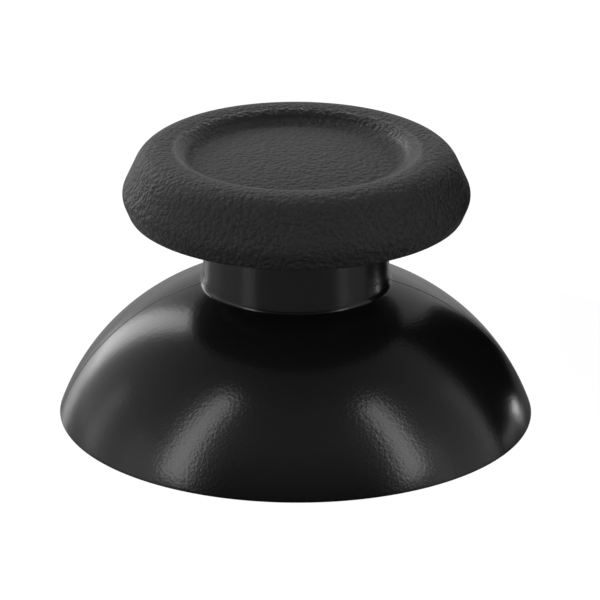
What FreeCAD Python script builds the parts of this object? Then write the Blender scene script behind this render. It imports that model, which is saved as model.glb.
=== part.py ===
import FreeCAD, Part
import math
import os
import Sketcher
from FreeCAD import Placement, Rotation, Vector

# Thumbstick cap: a hard moulding with a domed skirt, a neck and a flange, and a soft
# rubber thumb pad moulded over the flange. Millimetres, +Z up, the origin at the centre
# of the rim that the skirt stands on.

doc = FreeCAD.newDocument("thumbstick_cap")
sheet = doc.addObject("Spreadsheet::Sheet", "Sizes")

driving = [
    ("rim_dia", 26.0, "outside diameter of the dome at its rim"),
    ("dome_rise", 7.53, "height where the neck leaves the dome"),
    ("dome_bow", 1.29, "bulge of the dome past a straight line from rim to neck"),
    ("rim_land", 1.15, "width of the flat rim that the cap stands on"),
    ("crown_wall", 1.0, "wall between the round hollow and the foot of the neck"),
    ("neck_foot_dia", 10.22, "neck diameter where it meets the dome"),
    ("neck_top_dia", 10.0, "neck diameter under the head"),
    ("neck_length", 4.03, "from the dome to the head's underside"),
    ("neck_bevel", 0.35, "bevel between the neck and the collar"),
    ("collar_ledge", 0.9, "bare plastic ledge round the neck's top, where the rubber stops"),
    ("flange_thickness", 1.1, "thickness of the disc that carries the rubber"),
    ("rubber_edge", 1.445, "rubber round the edge of that disc"),
    ("rubber_under", 0.75, "rubber below that disc"),
    ("head_dia", 18.89, "widest diameter of the head"),
    ("head_height", 3.8, "from the head's underside to its crest"),
    ("widest_rise", 1.11, "height of the widest place above the underside"),
    ("widest_round", 0.98, "radius of the edge there"),
    ("upper_lean", 24.7, "lean of the flank above it, in degrees"),
    ("lower_lean", 22.5, "lean of the flank below it, in degrees"),
    ("under_bevel", 0.25, "bevel of the head's lower edge"),
    ("crest_round", 2.0, "rounding of the crest's outer side"),
    ("crest_land", 0.08, "flat between the crest's two roundings"),
    ("lip_round", 0.5, "rounding of the crest's inner side"),
    ("wall_lean", 49.2, "lean of the dish's wall, in degrees"),
    ("dish_depth", 1.0, "from the crest to the dish's floor"),
    ("boss_dia", 6.8, "boss that holds the stick's shaft"),
    ("boss_lift", 1.0, "from the rim up to the boss's mouth"),
    ("boss_bevel", 0.3, "bevel of the boss's lower edge"),
    ("socket_dia", 4.0, "round part of the shaft socket"),
    ("flat_cut", 0.4, "how far each of the socket's two flats stands in from its round part"),
    ("socket_depth", 5.5, "how deep the shaft goes in"),
    ("socket_lead", 0.3, "chamfer at the socket's mouth"),
    ("rib_count", 4, "ribs between boss and dome"),
    ("rib_width", 0.8, "thickness of a rib"),
    ("rib_reach", 7.0, "distance of a rib's outer end from the axis"),
    ("rib_lift", 1.6, "from the boss's mouth up to the foot of a rib"),
    ("rib_angle", 45.0, "turn of the first rib from the +X axis, in degrees"),
]

# Radii and heights worked out from the driving sizes. The hollow is part of a sphere about
# the point on the axis where the stick pivots, hollow_drop below the rim.
derived = [
    ("rim_radius", "rim_dia / 2"),
    ("neck_foot_radius", "neck_foot_dia / 2"),
    ("neck_top_radius", "neck_top_dia / 2"),
    ("collar_radius", "neck_top_radius + collar_ledge"),
    ("flange_radius", "head_dia / 2 - rubber_edge"),
    ("boss_radius", "boss_dia / 2"),
    ("socket_radius", "socket_dia / 2"),
    ("flat_offset", "socket_radius - flat_cut"),
    ("flat_half_length", "sqrt(socket_radius ^ 2 - flat_offset ^ 2)"),
    ("under_z", "dome_rise + neck_length"),
    ("flange_under_z", "under_z + rubber_under"),
    ("flange_top_z", "flange_under_z + flange_thickness"),
    ("crest_z", "under_z + head_height"),
    ("dish_z", "crest_z - dish_depth"),
    ("widest_centre", "head_dia / 2 - widest_round"),
    ("flank_top_radius", "widest_centre + widest_round * cos(upper_lean * 1 deg)"),
    ("flank_top_z", "under_z + widest_rise + widest_round * sin(upper_lean * 1 deg)"),
    ("flank_low_radius", "widest_centre + widest_round * cos(lower_lean * 1 deg)"),
    ("flank_low_z", "under_z + widest_rise - widest_round * sin(lower_lean * 1 deg)"),
    ("crown_radius", "flank_top_radius - (crest_z - flank_top_z) * tan(upper_lean * 1 deg)"),
    ("under_radius", "flank_low_radius - (flank_low_z - under_z) * tan(lower_lean * 1 deg)"),
    ("crest_reach", "crest_round * tan((90 - upper_lean) / 2 * 1 deg)"),
    ("lip_reach", "lip_round * tan((90 - wall_lean) / 2 * 1 deg)"),
    ("lip_radius", "crown_radius - crest_reach - crest_land - lip_reach"),
    ("dish_radius", "lip_radius - dish_depth * tan(wall_lean * 1 deg)"),
    ("dome_run", "rim_radius - neck_foot_radius"),
    ("dome_chord", "sqrt(dome_run ^ 2 + dome_rise ^ 2)"),
    ("dome_arc", "(dome_chord ^ 2 / 4 + dome_bow ^ 2) / (2 * dome_bow)"),
    ("hollow_radius", "rim_radius - rim_land"),
    ("hollow_rise", "dome_rise - crown_wall"),
    ("hollow_run", "sqrt(hollow_radius ^ 2 - neck_foot_radius ^ 2)"),
    ("hollow_drop", "(hollow_run ^ 2 - hollow_rise ^ 2) / (2 * hollow_rise)"),
    ("hollow_arc", "sqrt(hollow_radius ^ 2 + hollow_drop ^ 2)"),
    ("boss_root_z", "sqrt(hollow_arc ^ 2 - boss_radius ^ 2) - hollow_drop"),
    ("rib_foot_z", "boss_lift + rib_lift"),
    ("rib_root_radius", "(boss_radius + socket_radius) / 2"),
    ("rib_root_z", "boss_root_z + rim_land / 2"),
    ("rib_tip_z", "sqrt((hollow_arc + rim_land / 2) ^ 2 - rib_reach ^ 2) - hollow_drop"),
]

for row, (alias, value, note) in enumerate(driving, start=1):
    sheet.set(f"A{row}", alias)
    sheet.set(f"B{row}", str(value))
    sheet.set(f"C{row}", note)
    sheet.setAlias(f"B{row}", alias)
for row, (alias, formula) in enumerate(derived, start=len(driving) + 1):
    sheet.set(f"A{row}", alias)
    sheet.set(f"B{row}", "=" + formula)
    sheet.setAlias(f"B{row}", alias)
doc.recompute()


def size(alias):
    """The value of a cell, where None stands for a place on the axis."""
    return 0.0 if alias is None else float(sheet.get(alias))


def bind(sketch, kind, geometry, alias, *value):
    """Adds a dimension and ties it to a cell of the sheet."""
    index = sketch.addConstraint(Sketcher.Constraint(kind, *geometry, *value))
    sketch.setExpression(f"Constraints[{index}]", f"Sizes.{alias}")


def origin_plane(body, role):
    return next(plane for plane in body.Origin.OriginFeatures if plane.Role == role)


def new_body(label):
    body = doc.addObject("PartDesign::Body", label)
    body.Label = label
    body.Placement = Placement()
    return body


def new_sketch(body, name, role):
    sketch = body.newObject("Sketcher::SketchObject", name)
    sketch.AttachmentSupport = [(origin_plane(body, role), "")]
    sketch.MapMode = "FlatFace"
    return sketch


def bowed_edge(start, end, radius, side):
    """An arc from start to end that bulges to the left of the way there, or right for -1."""
    chord = end - start
    sagitta = radius - math.sqrt(radius ** 2 - chord.Length ** 2 / 4)
    left = Vector(-chord.y, chord.x, 0).normalize()
    return Part.Arc(start, (start + end) / 2 + left * sagitta * side, end)


def draw_outline(sketch, corners, bows={}):
    """
    A closed outline. Each corner is a pair of cell names, across and up. A bow makes the
    edge after that corner an arc: {corner: (cell of its radius, side)}.
    """
    points = [Vector(size(across), size(up), 0) for across, up in corners]
    count = len(points)
    first_ends = []
    for index, point in enumerate(points):
        following = points[(index + 1) % count]
        if index in bows:
            radius, side = bows[index]
            edge = sketch.addGeometry(bowed_edge(point, following, size(radius), side))
            # an arc's own ends run anticlockwise, so one that bulges left is drawn backwards
            first_ends.append(2 if side > 0 else 1)
            bind(sketch, "Radius", (edge,), radius, size(radius))
        else:
            sketch.addGeometry(Part.LineSegment(point, following))
            first_ends.append(1)
    for index, (across, up) in enumerate(corners):
        before = index - 1 if index else count - 1
        last_end = 3 - first_ends[before]
        here = (index, first_ends[index])
        sketch.addConstraint(Sketcher.Constraint("Coincident", before, last_end, *here))
        if across is None:
            sketch.addConstraint(Sketcher.Constraint("PointOnObject", *here, -2))
        else:
            bind(sketch, "DistanceX", (-1, 1, *here), across, size(across))
        if up is None:
            sketch.addConstraint(Sketcher.Constraint("PointOnObject", *here, -1))
        else:
            bind(sketch, "DistanceY", (-1, 1, *here), up, size(up))


def revolve(body, name, sketch):
    turned = body.newObject("PartDesign::Revolution", name)
    turned.Profile = sketch
    turned.ReferenceAxis = (sketch, ["V_Axis"])
    turned.Angle = 360
    doc.recompute()
    return turned


def ring_at(shape, radius, height):
    """The name of the round edge with this radius at this height."""
    for number, edge in enumerate(shape.Edges, start=1):
        if edge.Degenerated or not isinstance(edge.Curve, Part.Circle):
            continue
        place = edge.Curve.Center
        if abs(edge.Curve.Radius - size(radius)) < 1e-4 and abs(place.z - size(height)) < 1e-4:
            return f"Edge{number}"
    raise ValueError(f"no edge of {radius} at {height}")


def dress_ring(body, kind, name, amount, radius, height):
    """Rounds or bevels one round edge of the body by a cell's amount."""
    base = body.Tip
    dressed = body.newObject(f"PartDesign::{kind}", name)
    dressed.Base = (base, [ring_at(base.Shape, radius, height)])
    dressed.setExpression("Radius" if kind == "Fillet" else "Size", f"Sizes.{amount}")
    doc.recompute()


def cut_socket(body):
    """The shaft socket: a round hole with two flats, open at the boss's mouth."""
    sketch = new_sketch(body, "socket_outline", "XY_Plane")
    sketch.setExpression("AttachmentOffset.Base.z", "Sizes.boss_lift")
    corners = [
        Vector(size("flat_half_length"), size("flat_offset"), 0),
        Vector(-size("flat_half_length"), size("flat_offset"), 0),
        Vector(-size("flat_half_length"), -size("flat_offset"), 0),
        Vector(size("flat_half_length"), -size("flat_offset"), 0),
    ]
    side = Vector(size("socket_radius"), 0, 0)
    sketch.addGeometry(Part.LineSegment(corners[0], corners[1]))
    sketch.addGeometry(Part.Arc(corners[1], -side, corners[2]))
    sketch.addGeometry(Part.LineSegment(corners[2], corners[3]))
    sketch.addGeometry(Part.Arc(corners[3], side, corners[0]))
    for edge in range(4):
        joint = Sketcher.Constraint("Coincident", edge, 2, (edge + 1) % 4, 1)
        sketch.addConstraint(joint)
    sketch.addConstraint(Sketcher.Constraint("Horizontal", 0))
    sketch.addConstraint(Sketcher.Constraint("Horizontal", 2))
    sketch.addConstraint(Sketcher.Constraint("Coincident", 1, 3, -1, 1))
    sketch.addConstraint(Sketcher.Constraint("Coincident", 3, 3, -1, 1))
    bind(sketch, "Radius", (1,), "socket_radius", size("socket_radius"))
    bind(sketch, "DistanceY", (-1, 1, 0, 1), "flat_offset", size("flat_offset"))
    bind(sketch, "DistanceY", (2, 1, -1, 1), "flat_offset", size("flat_offset"))
    solid_before = body.Tip.Shape.Volume
    socket = body.newObject("PartDesign::Pocket", "shaft_socket")
    socket.Profile = sketch
    socket.Reversed = True
    socket.setExpression("Length", "Sizes.socket_depth")
    doc.recompute()
    if socket.Shape.Volume > solid_before - size("socket_depth"):
        raise RuntimeError("the shaft socket cut nothing")

    mouth_edges = []
    for number, edge in enumerate(socket.Shape.Edges, start=1):
        box = edge.BoundBox
        in_mouth = abs(box.ZMin - size("boss_lift")) < 1e-4 and box.ZLength < 1e-4
        if in_mouth and box.XMax < size("socket_radius") + 1e-4:
            mouth_edges.append(f"Edge{number}")
    lead = body.newObject("PartDesign::Chamfer", "socket_lead_in")
    lead.Base = (socket, mouth_edges)
    lead.setExpression("Size", "Sizes.socket_lead")
    doc.recompute()


def add_ribs(body):
    """Ribs that brace the boss against the dome, set round the axis."""
    sketch = new_sketch(body, "rib_outline", "XZ_Plane")
    sketch.AttachmentOffset = Placement(Vector(), Rotation(Vector(0, 1, 0), size("rib_angle")))
    sketch.setExpression("AttachmentOffset.Rotation.Angle", "Sizes.rib_angle * 1 deg")
    draw_outline(sketch, [
        ("rib_root_radius", "rib_foot_z"),
        ("boss_radius", "rib_foot_z"),
        ("rib_reach", "rib_tip_z"),
        ("rib_root_radius", "rib_root_z"),
    ])
    rib = body.newObject("PartDesign::Pad", "rib")
    rib.Profile = sketch
    rib.Midplane = True
    rib.setExpression("Length", "Sizes.rib_width")
    doc.recompute()
    ribs = body.newObject("PartDesign::PolarPattern", "ribs")
    ribs.Originals = [rib]
    ribs.Axis = (sketch, ["V_Axis"])
    ribs.Angle = 360
    ribs.setExpression("Occurrences", "Sizes.rib_count")
    body.Tip = ribs
    doc.recompute()


def make_dome_and_neck():
    """The hard moulding: skirt, neck, collar and flange turned in one, with a boss below."""
    body = new_body("dome_and_neck")
    sketch = new_sketch(body, "moulding_section", "XZ_Plane")
    draw_outline(sketch, [
        (None, "boss_lift"),
        ("boss_radius", "boss_lift"),
        ("boss_radius", "boss_root_z"),
        ("hollow_radius", None),
        ("rim_radius", None),
        ("neck_foot_radius", "dome_rise"),
        ("neck_top_radius", "under_z"),
        ("collar_radius", "under_z"),
        ("collar_radius", "flange_under_z"),
        ("flange_radius", "flange_under_z"),
        ("flange_radius", "flange_top_z"),
        (None, "flange_top_z"),
    ], bows={2: ("hollow_arc", 1), 4: ("dome_arc", -1)})
    revolve(body, "moulding", sketch)
    dress_ring(body, "Chamfer", "neck_top", "neck_bevel", "neck_top_radius", "under_z")
    dress_ring(body, "Chamfer", "boss_edge", "boss_bevel", "boss_radius", "boss_lift")
    cut_socket(body)
    add_ribs(body)
    return body


def make_rubber_thumb_pad():
    """The soft pad: it wraps the flange's top, edge and underside, and is dished on top."""
    body = new_body("rubber_thumb_pad")
    sketch = new_sketch(body, "pad_section", "XZ_Plane")
    draw_outline(sketch, [
        (None, "dish_z"),
        ("dish_radius", "dish_z"),
        ("lip_radius", "crest_z"),
        ("crown_radius", "crest_z"),
        ("flank_top_radius", "flank_top_z"),
        ("flank_low_radius", "flank_low_z"),
        ("under_radius", "under_z"),
        ("collar_radius", "under_z"),
        ("collar_radius", "flange_under_z"),
        ("flange_radius", "flange_under_z"),
        ("flange_radius", "flange_top_z"),
        (None, "flange_top_z"),
    ], bows={4: ("widest_round", 1)})
    revolve(body, "pad", sketch)
    dress_ring(body, "Fillet", "crest_outside", "crest_round", "crown_radius", "crest_z")
    dress_ring(body, "Fillet", "crest_inside", "lip_round", "lip_radius", "crest_z")
    dress_ring(body, "Chamfer", "lower_edge", "under_bevel", "under_radius", "under_z")
    return body


sub_parts = [make_dome_and_neck(), make_rubber_thumb_pad()]
doc.recompute()

for item in doc.Objects:
    if "Invalid" in item.State or "Error" in item.State:
        raise RuntimeError(f"{item.Label} did not build: {item.State}")
for body in sub_parts:
    if body.Shape.isNull() or not body.Shape.isValid() or len(body.Shape.Solids) != 1:
        raise RuntimeError(f"{body.Label} is not one valid solid")

os.makedirs("parts", exist_ok=True)
for body in sub_parts:
    box = body.Shape.BoundBox
    print(f"{body.Label}: {body.Shape.Volume:.1f} mm3, z {box.ZMin:.3f} to {box.ZMax:.3f}")
    body.Shape.exportStep(f"parts/{body.Label}.step")
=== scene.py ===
import math

import bmesh
import bpy
from mathutils import Matrix, Vector


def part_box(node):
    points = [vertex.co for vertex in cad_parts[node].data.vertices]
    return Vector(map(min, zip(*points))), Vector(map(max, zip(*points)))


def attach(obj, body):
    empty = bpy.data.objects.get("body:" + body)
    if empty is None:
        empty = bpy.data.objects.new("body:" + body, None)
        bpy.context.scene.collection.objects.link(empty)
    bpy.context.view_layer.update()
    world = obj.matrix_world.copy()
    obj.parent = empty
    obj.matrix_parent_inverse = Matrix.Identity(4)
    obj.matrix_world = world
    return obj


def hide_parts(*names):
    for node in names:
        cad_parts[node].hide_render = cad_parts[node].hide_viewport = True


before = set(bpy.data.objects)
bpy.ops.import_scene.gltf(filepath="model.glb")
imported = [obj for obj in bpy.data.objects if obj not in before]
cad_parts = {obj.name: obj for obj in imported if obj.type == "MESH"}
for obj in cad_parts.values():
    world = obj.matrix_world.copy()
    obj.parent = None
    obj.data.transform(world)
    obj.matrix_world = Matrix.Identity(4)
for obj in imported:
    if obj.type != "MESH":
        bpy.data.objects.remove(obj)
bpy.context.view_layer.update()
mm = 0.001  # metres


# Drawing and turning

def drawOutline(bm, corners):
    # Draws the half section of a turned piece in the XZ plane, in mm. Each corner is
    # (across, up, rounding, bulge to the left on the way to the next corner, spacing there).
    arcs = {"widestStep": 0.12, "fewestSteps": 3}
    spots = [Vector((corner[0], corner[1])) for corner in corners]
    lastSpot = len(spots) - 1

    def turned(vector, angle):
        return Matrix.Rotation(angle, 2) @ vector

    def edgeWay(index):  # how an edge sets off and how it arrives, and the radius of its bow
        chord = spots[index + 1] - spots[index]
        bulge = corners[index][3]
        if not bulge:
            return chord.normalized(), chord.normalized(), 0
        radius = (chord.length ** 2 / 4 + bulge ** 2) / (2 * abs(bulge))
        lean = math.copysign(math.asin(chord.length / 2 / radius), bulge)
        return turned(chord, lean).normalized(), turned(chord, -lean).normalized(), radius

    ways = [edgeWay(index) for index in range(lastSpot)]
    starts, ends, bends = [], [], []
    for index, spot in enumerate(spots):
        rounding = corners[index][2]
        if rounding and 0 < index < lastSpot:
            arriving, leaving = ways[index - 1][1], ways[index][0]
            turn = arriving.angle_signed(leaving) * -1
            reach = rounding * math.tan(abs(turn) / 2)
            ends.append(spot - arriving * reach)
            starts.append(spot + leaving * reach)
            bends.append((arriving, turn))
        else:
            ends.append(spot)
            starts.append(spot)
            bends.append(None)

    def place(spot):
        return Vector((spot.x, 0, spot.y)) * mm

    def sweep(pen, centre, angle, steps):  # an arc is a vertex spun about its centre
        spun = bmesh.ops.spin(bm, geom=[pen], cent=place(centre), axis=(0, -1, 0),
                              angle=angle, steps=steps)
        return next(item for item in spun["geom_last"] if isinstance(item, bmesh.types.BMVert))

    pen = bm.verts.new(place(starts[0]))
    for index in range(lastSpot):
        a, b = starts[index], ends[index + 1]
        radius, spacing = ways[index][2], corners[index][4]
        steps = max(1, round((b - a).length / spacing))
        if radius:
            side = math.copysign(1, corners[index][3])
            half = math.asin((b - a).length / 2 / radius)
            toCentre = turned((b - a).normalized(), -side * math.pi / 2)
            centre = (a + b) / 2 + toCentre * radius * math.cos(half)
            pen = sweep(pen, centre, -2 * half * side, steps)
        else:
            for step in range(steps):
                grown = bmesh.ops.extrude_vert_indiv(bm, verts=[pen])
                pen = grown["verts"][0]
                pen.co = place(a.lerp(b, (step + 1) / steps))
        if bends[index + 1]:
            arriving, turn = bends[index + 1]
            side = math.copysign(1, turn)
            rounding = corners[index + 1][2]
            centre = b + turned(arriving, side * math.pi / 2) * rounding
            arcStep = min(spacing, arcs["widestStep"])
            steps = max(arcs["fewestSteps"], round(abs(turn) * rounding / arcStep))
            pen = sweep(pen, centre, turn, steps)


def turnRound(bm, steps):
    # Spins the section by a quarter and sets three copies of it round the axis.
    weldMm = 0.002
    section = bm.verts[:] + bm.edges[:]
    bmesh.ops.spin(bm, geom=section, cent=(0, 0, 0), axis=(0, 0, 1), angle=math.pi / 2,
                   steps=steps // 4)
    quarter = bm.verts[:] + bm.edges[:] + bm.faces[:]
    for turn in range(1, 4):
        copied = bmesh.ops.duplicate(bm, geom=quarter)["geom"]
        copiedVerts = [item for item in copied if isinstance(item, bmesh.types.BMVert)]
        bmesh.ops.rotate(bm, verts=copiedVerts, cent=(0, 0, 0),
                         matrix=Matrix.Rotation(turn * math.pi / 2, 3, "Z"))
    bmesh.ops.remove_doubles(bm, verts=bm.verts, dist=weldMm * mm)
    bmesh.ops.recalc_face_normals(bm, faces=bm.faces)


def makePiece(name, bm, material):
    for face in bm.faces:
        face.smooth = True
    mesh = bpy.data.meshes.new(name)
    bm.to_mesh(mesh)
    bm.free()
    piece = bpy.data.objects.new(name, mesh)
    bpy.context.scene.collection.objects.link(piece)
    mesh.materials.append(material)
    return piece


# Materials

def linearColour(hexText):
    def channel(start):
        value = int(hexText[start:start + 2], 16) / 255
        return value / 12.92 if value <= 0.04045 else ((value + 0.055) / 1.055) ** 2.4
    return (channel(1), channel(3), channel(5), 1)


def addNode(tree, kind, settings={}, inputs={}):
    # Adds a node. An input is a value, or the output socket that feeds it.
    node = tree.nodes.new(kind)
    for key, value in settings.items():
        setattr(node, key, value)
    for key, value in inputs.items():
        if isinstance(value, bpy.types.NodeSocket):
            tree.links.new(value, node.inputs[key])
        else:
            node.inputs[key].default_value = value
    return node


def newMaterial(name):
    material = bpy.data.materials.new(name)
    material.use_nodes = True
    material.node_tree.nodes.clear()
    return material, material.node_tree


def finishMaterial(tree, shader):
    addNode(tree, "ShaderNodeOutputMaterial", {}, {"Surface": shader})


def mouldedRubber():
    # Soft silicone rubber moulded against an etched cavity: nearly black, half matt, with a
    # fine leathery grain whose pebbles catch the light in short dull flecks. Thumbs have worn
    # the inner lip smooth, so it shows as a thin bright ring.
    grain = {
        "colour": "#242524",
        "worn": "#2d2e2d",
        "pebbleMm": 0.28,
        "pebbleMelt": 0.3,
        "creaseMm": 0.13,
        "creaseDetail": 3.0,
        "depthMm": 0.115,
        "roughness": 0.44,
        "lipRoughness": 0.27,
        "lipGrain": 0.3,
        "lipRadiusMm": 6.32,
        "lipHalfMm": 0.25,
        "lipFadeMm": 0.6,
        "ior": 1.45,
    }
    material, tree = newMaterial("charcoalSiliconeRubber")
    where = addNode(tree, "ShaderNodeTexCoord").outputs["Object"]
    flat = addNode(tree, "ShaderNodeVectorMath", {"operation": "MULTIPLY"}, {
        0: where, 1: (1, 1, 0)})
    across = addNode(tree, "ShaderNodeVectorMath", {"operation": "LENGTH"}, {
        0: flat.outputs["Vector"]}).outputs["Value"]
    offset = addNode(tree, "ShaderNodeMath", {"operation": "SUBTRACT"}, {
        0: across, 1: grain["lipRadiusMm"] * mm})
    away = addNode(tree, "ShaderNodeMath", {"operation": "ABSOLUTE"}, {0: offset.outputs[0]})
    unworn = addNode(tree, "ShaderNodeMapRange", {"interpolation_type": "SMOOTHSTEP"}, {
        "Value": away.outputs[0],
        "From Min": grain["lipHalfMm"] * mm, "From Max": grain["lipFadeMm"] * mm})
    pebbles = addNode(tree, "ShaderNodeTexVoronoi", {"feature": "SMOOTH_F1"}, {
        "Vector": where, "Scale": 1 / (grain["pebbleMm"] * mm),
        "Smoothness": grain["pebbleMelt"]})
    creases = addNode(tree, "ShaderNodeTexNoise", {}, {
        "Vector": where, "Scale": 1 / (grain["creaseMm"] * mm),
        "Detail": grain["creaseDetail"]})
    height = addNode(tree, "ShaderNodeMath", {"operation": "MULTIPLY_ADD"}, {
        0: pebbles.outputs["Distance"], 1: -1.0, 2: creases.outputs["Fac"]})
    strength = addNode(tree, "ShaderNodeMapRange", {}, {
        "Value": unworn.outputs[0], "To Min": grain["lipGrain"], "To Max": 1.0})
    bump = addNode(tree, "ShaderNodeBump", {}, {
        "Height": height.outputs[0], "Strength": strength.outputs[0],
        "Distance": grain["depthMm"] * mm})
    tint = addNode(tree, "ShaderNodeMix", {"data_type": "RGBA"}, {
        "Factor": creases.outputs["Fac"],
        "A": linearColour(grain["colour"]), "B": linearColour(grain["worn"])})
    roughness = addNode(tree, "ShaderNodeMapRange", {}, {
        "Value": unworn.outputs[0],
        "To Min": grain["lipRoughness"], "To Max": grain["roughness"]})
    shader = addNode(tree, "ShaderNodeBsdfPrincipled", {}, {
        "Base Color": tint.outputs["Result"], "Roughness": roughness.outputs[0],
        "IOR": grain["ior"], "Normal": bump.outputs["Normal"]})
    finishMaterial(tree, shader.outputs["BSDF"])
    return material


def mouldedPlastic():
    # ABS injected against a polished cavity: deep black with a wet gloss, and the slight
    # orange peel of a thick moulding at the edges of its highlights. The neck is a shade less
    # polished. The two halves of the mould leave a fine raised line down both sides.
    shine = {
        "colour": "#151516",
        "peelMm": 0.17,
        "peelDetail": 1.0,
        "peelDepthMm": 0.007,
        "roughness": 0.2,
        "neckRoughness": 0.22,
        "neckStartsMm": 7.7,
        "neckBlendMm": 0.1,
        "partingTurn": 3.0,
        "partingWidthMm": 0.2,
        "partingHeightMm": 0.04,
        "ior": 1.5,
    }
    material, tree = newMaterial("blackPolishedAbs")
    where = addNode(tree, "ShaderNodeTexCoord").outputs["Object"]
    peel = addNode(tree, "ShaderNodeTexNoise", {}, {
        "Vector": where, "Scale": 1 / (shine["peelMm"] * mm), "Detail": shine["peelDetail"]})
    turn = math.radians(shine["partingTurn"])
    fromPlane = addNode(tree, "ShaderNodeVectorMath", {"operation": "DOT_PRODUCT"}, {
        0: where, 1: (-math.sin(turn), math.cos(turn), 0)})
    away = addNode(tree, "ShaderNodeMath", {"operation": "ABSOLUTE"}, {
        0: fromPlane.outputs["Value"]})
    ridge = addNode(tree, "ShaderNodeMapRange", {"interpolation_type": "SMOOTHSTEP"}, {
        "Value": away.outputs[0], "From Min": 0.0, "From Max": shine["partingWidthMm"] / 2 * mm,
        "To Min": 1.0, "To Max": 0.0})
    parting = addNode(tree, "ShaderNodeBump", {}, {
        "Height": ridge.outputs[0], "Strength": 1.0,
        "Distance": shine["partingHeightMm"] * mm})
    bump = addNode(tree, "ShaderNodeBump", {}, {
        "Height": peel.outputs["Fac"], "Strength": 1.0, "Distance": shine["peelDepthMm"] * mm,
        "Normal": parting.outputs["Normal"]})
    parts = addNode(tree, "ShaderNodeSeparateXYZ", {}, {0: where})
    roughness = addNode(tree, "ShaderNodeMapRange", {}, {
        "Value": parts.outputs["Z"],
        "From Min": (shine["neckStartsMm"] - shine["neckBlendMm"]) * mm,
        "From Max": shine["neckStartsMm"] * mm,
        "To Min": shine["roughness"], "To Max": shine["neckRoughness"]})
    shader = addNode(tree, "ShaderNodeBsdfPrincipled", {}, {
        "Base Color": linearColour(shine["colour"]), "Roughness": roughness.outputs[0],
        "IOR": shine["ior"], "Normal": bump.outputs["Normal"]})
    finishMaterial(tree, shader.outputs["BSDF"])
    return material


# The rubber thumb pad

def makeThumbPad():
    low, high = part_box("rubber_thumb_pad")
    underZ, widest = low.z / mm, high.x / mm
    pad = {
        "widestRise": 1.11,
        "widestRound": 0.98,
        "upperLean": 24.7,
        "lowerLean": 22.5,
        "lowerRound": 0.25,
        "crestSink": 0.1,
        "crestRound": 1.62,
        "lipRound": 1.8,
        "lipRadius": 6.42,
        "floorRadius": 5.62,
        "floorDrop": 0.74,
        "floorCrown": 0.44,
        "floorFillet": 0.6,
        "collarRadius": 5.9,
        "flangeRadius": 8.0,
        "flangeUnder": 0.75,
        "flangeTop": 1.85,
        "fine": 0.11,
        "hidden": 1.4,
        "stepsRound": 440,
    }
    # The side is two leaning lines that meet in a round edge at the widest place.
    crestZ = high.z / mm - pad["crestSink"]
    edgeCentre = widest - pad["widestRound"]
    upper, lower = math.radians(pad["upperLean"]), math.radians(pad["lowerLean"])
    topX = edgeCentre + pad["widestRound"] * math.cos(upper)
    topZ = underZ + pad["widestRise"] + pad["widestRound"] * math.sin(upper)
    lowX = edgeCentre + pad["widestRound"] * math.cos(lower)
    lowZ = underZ + pad["widestRise"] - pad["widestRound"] * math.sin(lower)
    halfTurn = (upper + lower) / 2
    edgeBulge = pad["widestRound"] * (1 - math.cos(halfTurn))
    crownX = topX - (crestZ - topZ) * math.tan(upper)
    underX = lowX - (lowZ - underZ) * math.tan(lower)
    floorZ = crestZ - pad["floorDrop"]
    fine, hidden = pad["fine"], pad["hidden"]
    corners = [
        (0, floorZ + pad["floorCrown"], 0, pad["floorCrown"] / 4, fine),  # the dish
        (pad["floorRadius"], floorZ, pad["floorFillet"], 0, fine),
        (pad["lipRadius"], crestZ, pad["lipRound"], 0, fine),
        (crownX, crestZ, pad["crestRound"], 0, fine),
        (topX, topZ, 0, edgeBulge, fine),  # the widest edge
        (lowX, lowZ, 0, 0, fine),
        (underX, underZ, pad["lowerRound"], 0, fine),
        (pad["collarRadius"], underZ, 0, 0, hidden),  # the seat on the flange
        (pad["collarRadius"], underZ + pad["flangeUnder"], 0, 0, hidden),
        (pad["flangeRadius"], underZ + pad["flangeUnder"], 0, 0, hidden),
        (pad["flangeRadius"], underZ + pad["flangeTop"], 0, 0, hidden),
        (0, underZ + pad["flangeTop"], 0, 0, hidden),
    ]
    bm = bmesh.new()
    drawOutline(bm, corners)
    turnRound(bm, pad["stepsRound"])
    piece = makePiece("thumb_pad_skin", bm, mouldedRubber())
    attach(piece, "root")
    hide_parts("rubber_thumb_pad")
    print("thumb pad turned:", len(piece.data.polygons), "faces")


# The dome and neck

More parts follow.
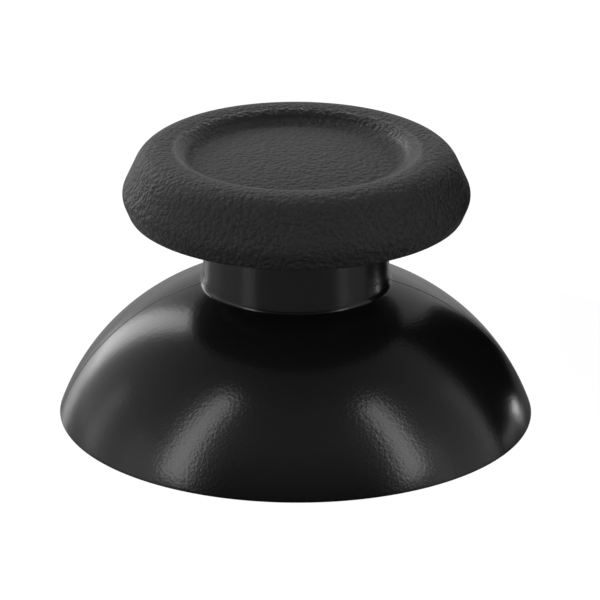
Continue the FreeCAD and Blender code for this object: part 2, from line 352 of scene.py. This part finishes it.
def makeDomeAndNeck():
    low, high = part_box("dome_and_neck")
    rimRadius, topZ = high.x / mm, high.z / mm
    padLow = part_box("rubber_thumb_pad")[0].z / mm
    moulding = {
        "domeRise": 7.53,
        "domeBulge": 1.29,
        "rimRound": 0.02,
        "rimLand": 1.15,
        "footRadius": 5.11,
        "footFillet": 0.22,
        "neckRadius": 5.0,
        "neckBevel": 0.35,
        "collarRadius": 5.9,
        "flangeRadius": 8.0,
        "flangeUnder": 0.75,
        "crownWall": 1.0,
        "bossRadius": 3.4,
        "bossLift": 1.0,
        "bossBevel": 0.3,
        "bossFillet": 0.4,
        "socketRadius": 2.0,
        "socketFlats": 1.6,
        "socketDepth": 5.5,
        "socketLead": 0.3,
        "socketMargin": 0.01,
        "ribWidth": 0.8,
        "ribReach": 7.0,
        "ribFoot": 2.6,
        "ribInBoss": 0.2,
        "ribInRoof": 0.3,
        "ribFirst": 45,
        "ribCount": 4,
        "fine": 0.14,
        "coarse": 0.5,
        "stepsRound": 384,
    }
    fine, coarse = moulding["fine"], moulding["coarse"]
    # The hollow's roof is part of a sphere, from the rim to the root of the socket's boss.
    hollowRadius = rimRadius - moulding["rimLand"]
    hollowRise = moulding["domeRise"] - moulding["crownWall"]
    run = math.sqrt(hollowRadius ** 2 - moulding["footRadius"] ** 2)
    drop = (run ** 2 - hollowRise ** 2) / (2 * hollowRise)
    hollowArc = math.hypot(hollowRadius, drop)
    rootZ = math.sqrt(hollowArc ** 2 - moulding["bossRadius"] ** 2) - drop
    chord = math.hypot(hollowRadius - moulding["bossRadius"], rootZ)
    hollowBulge = hollowArc - math.sqrt(hollowArc ** 2 - chord ** 2 / 4)
    bossZ, lead = moulding["bossLift"], moulding["socketLead"]
    socketTop = bossZ + moulding["socketDepth"]
    corners = [
        (0, socketTop, 0, 0, coarse),  # the socket
        (moulding["socketRadius"], socketTop, 0, 0, coarse),
        (moulding["socketRadius"], bossZ + lead, 0, 0, coarse),
        (moulding["socketRadius"] + lead, bossZ, 0, 0, coarse),  # its boss
        (moulding["bossRadius"] - moulding["bossBevel"], bossZ, 0, 0, coarse),
        (moulding["bossRadius"], bossZ + moulding["bossBevel"], 0, 0, coarse),
        (moulding["bossRadius"], rootZ, moulding["bossFillet"], hollowBulge, coarse),
        (hollowRadius, 0, 0, 0, coarse),  # the rim and the dome
        (rimRadius, 0, moulding["rimRound"], -moulding["domeBulge"], fine),
        (moulding["footRadius"], moulding["domeRise"], moulding["footFillet"], 0, fine),
        (moulding["neckRadius"], padLow - moulding["neckBevel"], 0, 0, fine),
        (moulding["neckRadius"] + moulding["neckBevel"], padLow, 0, 0, coarse),
        (moulding["collarRadius"], padLow, 0, 0, coarse),  # the collar and flange
        (moulding["collarRadius"], padLow + moulding["flangeUnder"], 0, 0, coarse),
        (moulding["flangeRadius"], padLow + moulding["flangeUnder"], 0, 0, coarse),
        (moulding["flangeRadius"], topZ, 0, 0, 2 * coarse),
        (0, topZ, 0, 0, coarse),
    ]
    bm = bmesh.new()
    drawOutline(bm, corners)
    turnRound(bm, moulding["stepsRound"])
    # The socket's two flats are pressed out of its round, with the lead-in kept before them.
    mouthRadius = moulding["socketRadius"] + lead + moulding["socketMargin"]
    socketEnd = (socketTop + moulding["socketMargin"]) * mm
    for vert in bm.verts:
        across = math.hypot(vert.co.x, vert.co.y) / mm
        if across < mouthRadius and vert.co.z < socketEnd:
            widening = max(0, across - moulding["socketRadius"])
            limit = min(across, moulding["socketFlats"] + widening)
            vert.co.y = max(-limit * mm, min(limit * mm, vert.co.y))
    # Upright ribs stand between the socket's boss and the roof of the hollow.
    ribInner, ribOuter = moulding["bossRadius"] - moulding["ribInBoss"], moulding["ribReach"]
    ribFootZ = moulding["ribFoot"]
    ribTopZ = math.sqrt(hollowArc ** 2 - ribOuter ** 2) - drop + moulding["ribInRoof"]
    ribSize = Vector((ribOuter - ribInner, moulding["ribWidth"], ribTopZ - ribFootZ)) * mm
    ribMiddle = Vector(((ribInner + ribOuter) / 2, 0, (ribTopZ + ribFootZ) / 2)) * mm
    for index in range(moulding["ribCount"]):
        azimuth = math.radians(moulding["ribFirst"] + index * 360 / moulding["ribCount"])
        rib = bmesh.ops.create_cube(bm, size=1.0)["verts"]
        bmesh.ops.scale(bm, verts=rib, vec=ribSize)
        bmesh.ops.translate(bm, verts=rib, vec=ribMiddle)
        bmesh.ops.rotate(bm, verts=rib, cent=(0, 0, 0), matrix=Matrix.Rotation(azimuth, 3, "Z"))
    piece = makePiece("polished_moulding", bm, mouldedPlastic())
    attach(piece, "root")
    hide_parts("dome_and_neck")
    print("dome and neck turned:", len(piece.data.polygons), "faces")


# The studio

def makeFloor():
    # The floor is a pale satin sheet to the light. To the camera it is lit paper white as well,
    # which leaves the object's soft shadow on it.
    floor = {
        "radius": 0.5,
        "colour": "#c8c8c8",
        "gloss": 0.22,
        "ior": 1.7,
        "ownShade": 0.15,
        "white": 0.977,
    }
    bm = bmesh.new()
    bmesh.ops.create_circle(bm, cap_ends=True, segments=96, radius=floor["radius"])
    material, tree = newMaterial("paleSatinSheet")
    sheet = addNode(tree, "ShaderNodeBsdfPrincipled", {}, {
        "Base Color": linearColour(floor["colour"]), "Roughness": floor["gloss"],
        "IOR": floor["ior"]})
    white = addNode(tree, "ShaderNodeEmission", {}, {
        "Color": (1, 1, 1, 1), "Strength": floor["white"] / (1 - floor["ownShade"])})
    seen = addNode(tree, "ShaderNodeLightPath").outputs["Is Camera Ray"]
    share = addNode(tree, "ShaderNodeMath", {"operation": "MULTIPLY"}, {
        0: seen, 1: 1 - floor["ownShade"]})
    mixed = addNode(tree, "ShaderNodeMixShader", {}, {
        0: share.outputs[0], 1: sheet.outputs[0], 2: white.outputs[0]})
    finishMaterial(tree, mixed.outputs[0])
    makePiece("floor", bm, material)
    print("floor laid")


def heading(azimuth, elevation):
    # A direction from the object: azimuth 0 is towards the camera's side, right is positive.
    a, e = math.radians(azimuth), math.radians(elevation)
    return Vector((math.sin(a) * math.cos(e), -math.cos(a) * math.cos(e), math.sin(e)))


def addPanel(name, azimuth, width, lowest, highest, brightness, lean=0, distance=0.6):
    # An upright panel lamp that faces the object. Its width and its lower and upper edges are
    # angles as the object sees them, in degrees, and brightness is what a mirror shows of it.
    low = distance * math.tan(math.radians(lowest))
    high = distance * math.tan(math.radians(highest))
    across = 2 * distance * math.tan(math.radians(width / 2))
    lamp = bpy.data.lights.new(name, "AREA")
    lamp.shape = "RECTANGLE"
    lamp.size, lamp.size_y = across, high - low
    lamp.energy = brightness * math.pi * across * (high - low)
    panel = bpy.data.objects.new(name, lamp)
    panel.location = heading(azimuth, 0) * distance + Vector((0, 0, (low + high) / 2))
    facing = heading(azimuth, 0).to_track_quat("Z", "Y").to_matrix()
    leaning = Matrix.Rotation(math.radians(lean), 3, "Z")
    panel.rotation_mode = "QUATERNION"
    panel.rotation_quaternion = (facing @ leaning).to_quaternion()
    panel.visible_camera = False
    bpy.context.scene.collection.objects.link(panel)


def addFlag():
    # A black card cut to a mound and bent round the back right of the object, which keeps that
    # side deep. Its heights are in mm, by azimuth.
    flag = {
        "radiusMm": 24,
        "colour": "#0a0a0a",
        "heights": {87: 4, 90: 9, 94: 14, 99: 20, 105: 24, 111: 30, 117: 33, 124: 31,
                    127: 23, 131: 18, 136: 15, 140: 11, 141: 1},
    }
    bm = bmesh.new()
    foot = [bm.verts.new(heading(azimuth, 0) * flag["radiusMm"] * mm)
            for azimuth in flag["heights"]]
    for one, other in zip(foot, foot[1:]):
        bm.edges.new((one, other))
    bmesh.ops.extrude_edge_only(bm, edges=bm.edges[:])
    raised = [vert for vert in bm.verts if vert not in foot]
    for vert, height in zip(raised, flag["heights"].values()):
        vert.co.z = height * mm
    material, tree = newMaterial("blackCard")
    black = addNode(tree, "ShaderNodeBsdfDiffuse", {}, {"Color": linearColour(flag["colour"])})
    finishMaterial(tree, black.outputs[0])
    card = makePiece("flag", bm, material)
    card.visible_camera = False


def paintRoom():
    # The walls are pale and grow dimmer upwards, and the room in front is dark low down. The
    # camera alone sees white paper instead. Heights and depths are parts of a unit sphere.
    room = {
        "wallFoot": 0.68,
        "wallTop": 0.1,
        "leftGain": 0.06,
        "frontFoot": 0.02,
        "frontTop": 0.2,
        "frontFootHeight": 0.2,
        "frontTopHeight": 0.65,
        "frontBegins": -0.35,
        "frontIsFull": -0.75,
        "paper": 1.0,
    }
    world = bpy.data.worlds.new("studio")
    bpy.context.scene.world = world
    world.use_nodes = True
    tree = world.node_tree
    tree.nodes.clear()
    way = addNode(tree, "ShaderNodeTexCoord").outputs["Generated"]
    parts = addNode(tree, "ShaderNodeSeparateXYZ", {}, {0: way})
    walls = addNode(tree, "ShaderNodeMapRange", {}, {
        "Value": parts.outputs["Z"], "From Min": 0.0, "From Max": 1.0,
        "To Min": room["wallFoot"], "To Max": room["wallTop"]})
    front = addNode(tree, "ShaderNodeMapRange", {}, {
        "Value": parts.outputs["Z"],
        "From Min": room["frontFootHeight"], "From Max": room["frontTopHeight"],
        "To Min": room["frontFoot"], "To Max": room["frontTop"]})
    side = addNode(tree, "ShaderNodeMapRange", {}, {
        "Value": parts.outputs["X"], "From Min": 1.0, "From Max": -1.0,
        "To Min": 1 - room["leftGain"], "To Max": 1 + room["leftGain"]})
    sided = addNode(tree, "ShaderNodeMath", {"operation": "MULTIPLY"}, {
        0: walls.outputs[0], 1: side.outputs[0]})
    frontShare = addNode(tree, "ShaderNodeMapRange", {}, {
        "Value": parts.outputs["Y"],
        "From Min": room["frontBegins"], "From Max": room["frontIsFull"]})
    level = addNode(tree, "ShaderNodeMix", {}, {
        "Factor": frontShare.outputs[0], "A": sided.outputs[0], "B": front.outputs[0]})
    light = addNode(tree, "ShaderNodeBackground", {}, {
        "Color": (1, 1, 1, 1), "Strength": level.outputs[0]})
    paper = addNode(tree, "ShaderNodeBackground", {}, {
        "Color": (1, 1, 1, 1), "Strength": room["paper"]})
    seen = addNode(tree, "ShaderNodeLightPath").outputs["Is Camera Ray"]
    both = addNode(tree, "ShaderNodeMixShader", {}, {
        0: seen, 1: light.outputs[0], 2: paper.outputs[0]})
    addNode(tree, "ShaderNodeOutputWorld", {}, {"Surface": both.outputs[0]})


def lightStudio():
    # Two tall boxes in front, a leaning strip and a top light behind, and dim cards at the
    # sides. The last two are small and stand on the floor just inside the flag.
    panels = {
        "frontLeftBox": {"azimuth": -60.5, "width": 15, "lowest": 14, "highest": 60,
                         "brightness": 3.5},
        "frontRightBox": {"azimuth": 60, "width": 13, "lowest": 16, "highest": 56,
                          "brightness": 3.4},
        "backLeftStrip": {"azimuth": -145.5, "width": 12, "lowest": 0, "highest": 44,
                          "brightness": 2.7, "lean": -5},
        "topBack": {"azimuth": 180, "width": 26, "lowest": 26, "highest": 50,
                    "brightness": 1.5},
        "leftStreak": {"azimuth": -114, "width": 10, "lowest": 0, "highest": 24,
                       "brightness": 0.5},
        "leftGlow": {"azimuth": -80, "width": 22, "lowest": 5, "highest": 24,
                     "brightness": 0.25},
        "rightGlow": {"azimuth": 75, "width": 10, "lowest": 6, "highest": 27,
                      "brightness": 0.3},
        "rightStreak": {"azimuth": 107, "width": 8, "lowest": 4, "highest": 34,
                        "brightness": 0.25},
        "floorGlint": {"azimuth": 110, "width": 6, "lowest": 0, "highest": 2.5,
                       "brightness": 3.8, "distance": 0.0225},
        "floorSpill": {"azimuth": 101, "width": 22, "lowest": 0, "highest": 3,
                       "brightness": 0.55, "distance": 0.0228},
    }
    paintRoom()
    for name, panel in panels.items():
        addPanel(name, **panel)
    addFlag()
    print("studio lit:", len(panels), "panels")


def placeCamera():
    view = {
        "elevation": 21.089,
        "distance": 255.633,
        "lookHeight": 7.5,
        "lensMm": 280.74,
        "sensorMm": 36.0,
        "lookRight": 0.2163,
        "lookUp": -1.0298,
        "roll": 0.237,
        "nearest": 0.01,
        "farthest": 5,
    }
    data = bpy.data.cameras.new("camera")
    data.sensor_width = view["sensorMm"]
    data.lens = view["lensMm"]
    data.clip_start, data.clip_end = view["nearest"], view["farthest"]
    camera = bpy.data.objects.new("camera", data)
    bpy.context.scene.collection.objects.link(camera)
    back = heading(0, view["elevation"])
    middle = Vector((0, 0, view["lookHeight"] * mm))
    camera.location = middle + back * view["distance"] * mm
    aim = back.to_track_quat("Z", "Y")
    right, up = aim @ Vector((1, 0, 0)), aim @ Vector((0, 1, 0))
    look = middle + right * view["lookRight"] * mm + up * view["lookUp"] * mm
    level = (camera.location - look).to_track_quat("Z", "Y")
    roll = Matrix.Rotation(math.radians(view["roll"]), 3, "Z").to_quaternion()
    camera.rotation_mode = "QUATERNION"
    camera.rotation_quaternion = level @ roll
    bpy.context.scene.camera = camera
    print("camera placed")


makeThumbPad()
makeDomeAndNeck()
makeFloor()
lightStudio()
placeCamera()
bpy.context.scene.view_settings.view_transform = "Standard"
